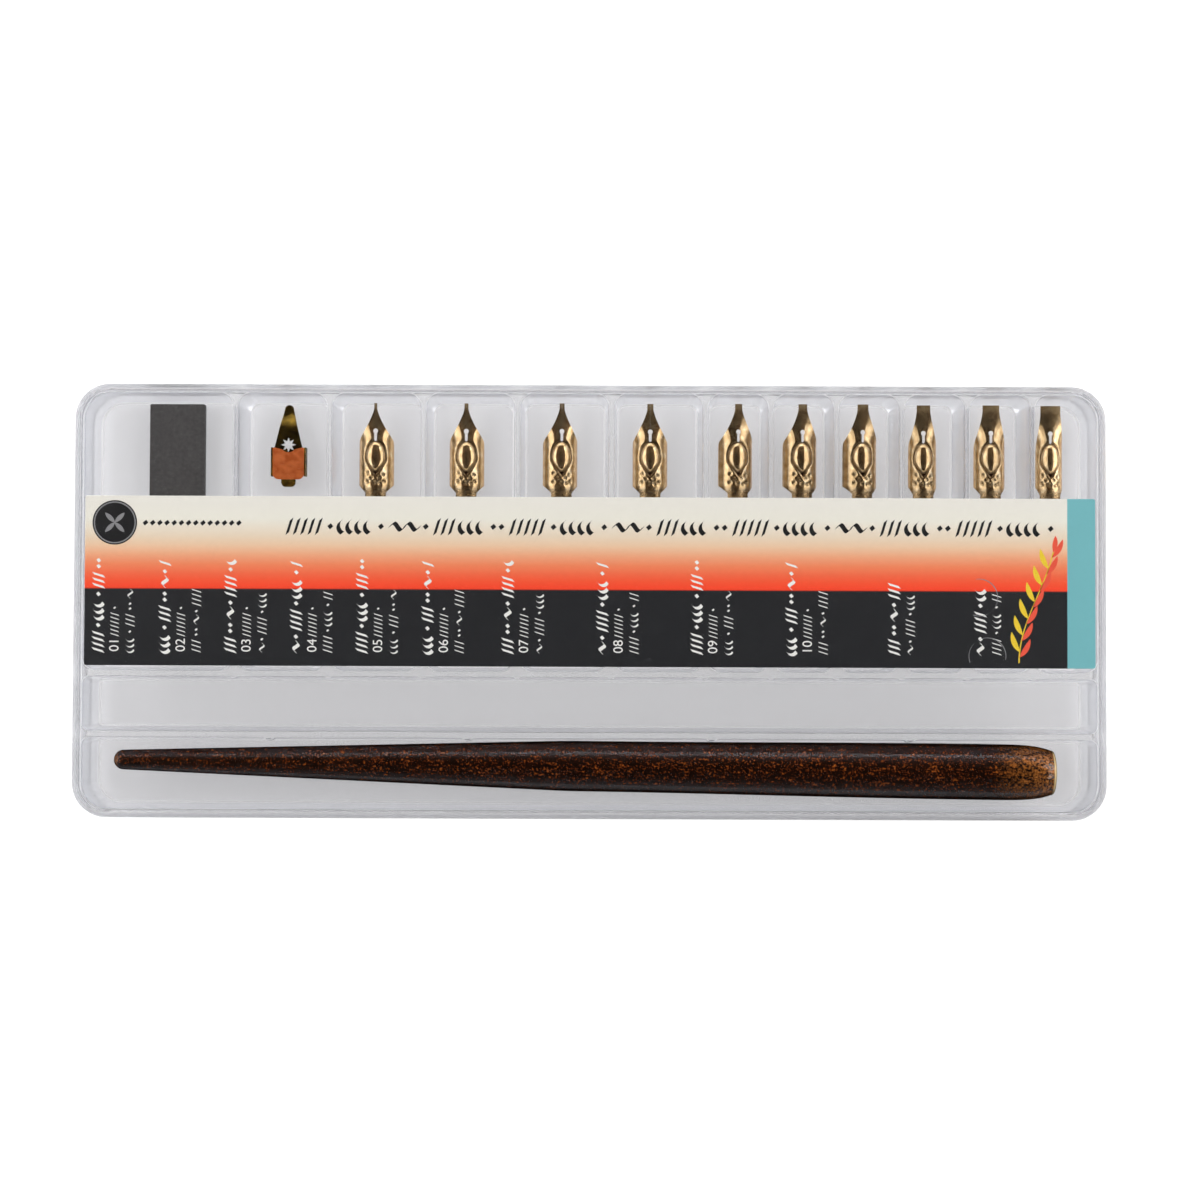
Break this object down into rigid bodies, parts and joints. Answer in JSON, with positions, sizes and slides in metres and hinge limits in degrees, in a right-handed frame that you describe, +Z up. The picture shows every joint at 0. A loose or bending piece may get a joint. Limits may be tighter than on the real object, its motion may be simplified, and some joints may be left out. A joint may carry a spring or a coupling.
{
  "type": "calligraphy set box",
  "caption": "Flat clear plastic case with a lift-off lid and printed card, divided into bays that hold broad pen nibs, a reservoir, a magnet strip and a wooden penholder.",
  "frame": {"origin": "middle of the case's underside", "axes": "+X along the long side, towards the bay of the widest nib; +Y across the case, towards the nib tips and away from the penholder; +Z up, out through the lid"},
  "size_m": [0.19, 0.08, 0.016],
  "materials": {
    "clear_plastic": "clear injection-moulded polystyrene, polished",
    "printed_card": "printed card, satin",
    "magnet_rubber": "matt flexible magnet strip",
    "reservoir_sheet": "thin brass and copper coloured sheet, tumbled",
    "nib_bronze": "bronze-coloured lacquer over bright steel sheet",
    "lacquered_wood": "turned hardwood under clear gloss lacquer",
    "ferrule_brass": "drawn brass tube",
    "claw_steel": "spring steel sheet"
  },
  "bodies": {
    "base": {"base_tray": "clear_plastic", "magnet_strip": "magnet_rubber", "reservoir": "reservoir_sheet", "nib_6": "nib_bronze", "nib_5": "nib_bronze", "nib_4": "nib_bronze", "nib_3_half": "nib_bronze", "nib_3": "nib_bronze", "nib_2_half": "nib_bronze", "nib_2": "nib_bronze", "nib_1_half": "nib_bronze", "nib_1": "nib_bronze", "nib_0": "nib_bronze"},
    "penholder": {"penholder_shaft": "lacquered_wood", "ferrule_sleeve": "ferrule_brass", "ferrule_claws": "claw_steel"},
    "lid": {"lid": "clear_plastic", "label_card": "printed_card"}
  },
  "joints": [
    {"name": "penholder_lift", "type": "slide", "parent": "base", "child": "penholder", "axis": [0, 0, 1], "range_m": [0, 0.03]},
    {"name": "lid_lift", "type": "slide", "parent": "penholder", "child": "lid", "axis": [0, 0, 1], "range_m": [0, 0.06]}
  ]
}
